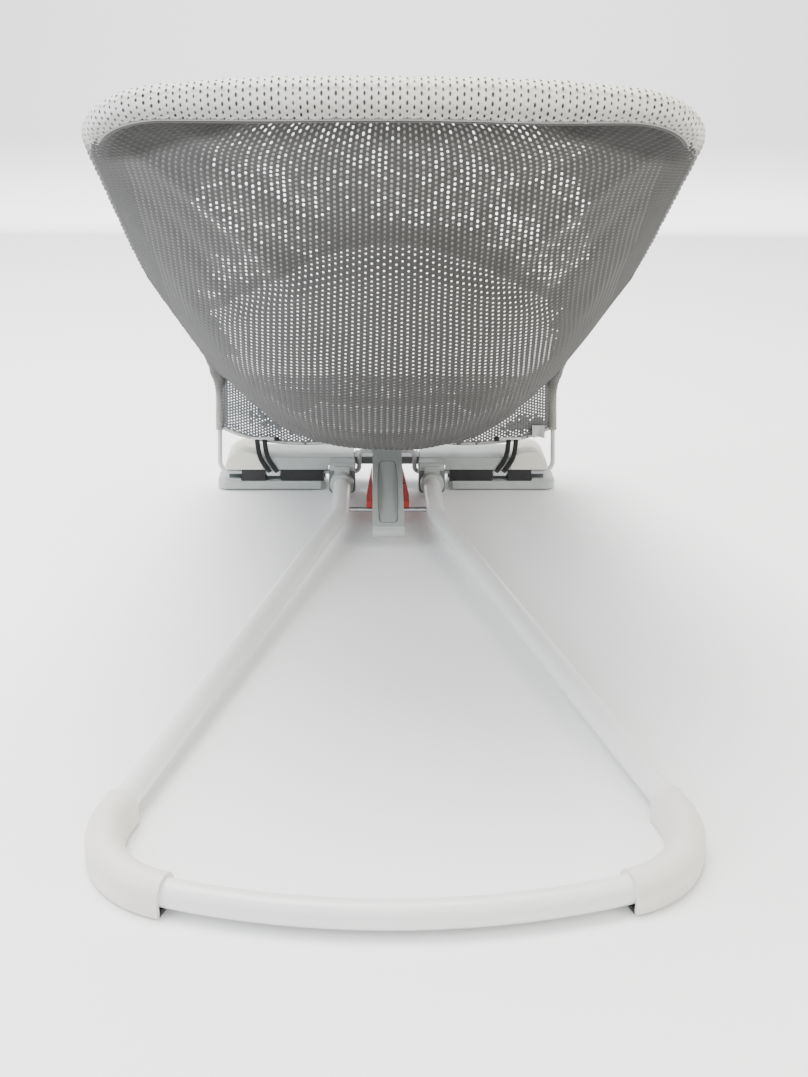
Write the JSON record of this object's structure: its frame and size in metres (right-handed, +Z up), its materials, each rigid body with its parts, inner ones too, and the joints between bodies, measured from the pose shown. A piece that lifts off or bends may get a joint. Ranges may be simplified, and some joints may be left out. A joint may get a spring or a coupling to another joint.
{
  "type": "infant bouncer seat",
  "caption": "Reclining infant bouncer with a mesh sling on a spring-wire and tube frame, a bent tube base, a wide front foot and a notched latch arm.",
  "frame": {"origin": "floor level, midway between the left and right sides and between the front foot and the rear bar, with the seat in its middle recline position", "axes": "+Z up, +Y towards the rear bar and the head end, +X to the sitter's left; the seat hinge runs along X"},
  "size_m": [0.4178, 0.7918, 0.4565],
  "materials": {
    "white_tube": "white powder coat",
    "grey_wire": "light grey powder coat",
    "bare_steel": "bright zinc",
    "cream_plastic": "fine matt",
    "grey_plastic": "fine matt",
    "dark_plastic": "matt",
    "red_plastic": "satin",
    "sole_rubber": "matt",
    "mesh_back": "grey-white spacer mesh",
    "mesh_trim": "white spacer mesh",
    "elastic": "black woven elastic",
    "white_plastic": "smooth"
  },
  "bodies": {
    "base": {"base_tube": "white_tube", "cross_wire": "bare_steel", "corner_foot_screws": "bare_steel", "front_chassis": "dark_plastic", "front_foot_screws": "bare_steel", "hinge_bushes": "dark_plastic", "tube_pins": "bare_steel", "left_corner_foot": "cream_plastic", "left_corner_sole": "sole_rubber", "left_foot_plate": "grey_plastic", "left_foot_pad": "sole_rubber", "left_front_cover": "grey_plastic", "left_socket_collar": "grey_plastic", "right_corner_foot": "cream_plastic", "right_corner_sole": "sole_rubber", "right_foot_plate": "grey_plastic", "right_foot_pad": "sole_rubber", "right_front_cover": "grey_plastic", "right_socket_collar": "grey_plastic"},
    "seat": {"seat_wire": "grey_wire", "back_hoop": "grey_wire", "top_roll": "mesh_trim", "back_panel": "mesh_back", "seat_bucket": "mesh_back", "leg_panel": "mesh_back", "restraint_flap": "mesh_back", "restraint_toggles": "white_plastic", "care_tab": "mesh_trim", "left_wire_ferrule": "white_plastic", "left_rail_sleeve": "mesh_trim", "left_elastic_strap": "elastic", "left_strap_clip": "white_plastic", "right_wire_ferrule": "white_plastic", "right_rail_sleeve": "mesh_trim", "right_elastic_strap": "elastic", "right_strap_clip": "white_plastic"},
    "latch_arm_body": {"latch_arm": "grey_plastic", "latch_cap": "grey_plastic", "catch_pin": "bare_steel", "catch_spring": "bare_steel", "latch_bush": "dark_plastic"},
    "catch_body": {"notched_catch": "red_plastic"}
  },
  "joints": [
    {"name": "seat_recline", "type": "hinge", "parent": "base", "child": "seat", "pos_m": [0, -0.3559, 0.02], "axis": [1, 0, 0], "range_deg": [-37, 16.5], "deforming": ["seat_bucket", "restraint_flap", "restraint_toggles", "left_elastic_strap", "right_elastic_strap"]},
    {"name": "latch_level", "type": "hinge", "parent": "seat", "child": "latch_arm_body", "pos_m": [0, -0.3559, 0.044], "axis": [1, 0, 0], "range_deg": [-17.3, 38.6]},
    {"name": "catch_release", "type": "hinge", "parent": "latch_arm_body", "child": "catch_body", "pos_m": [0, -0.3259, 0.032], "axis": [1, 0, 0], "range_deg": [0, 2.8], "stiffness_Nm_per_rad": 0.5, "springref_deg": -17.19, "deforming": ["catch_spring"]}
  ],
  "couplings": [
    {"joint": "latch_level", "follows": "seat_recline", "ratio": -1.04}
  ]
}
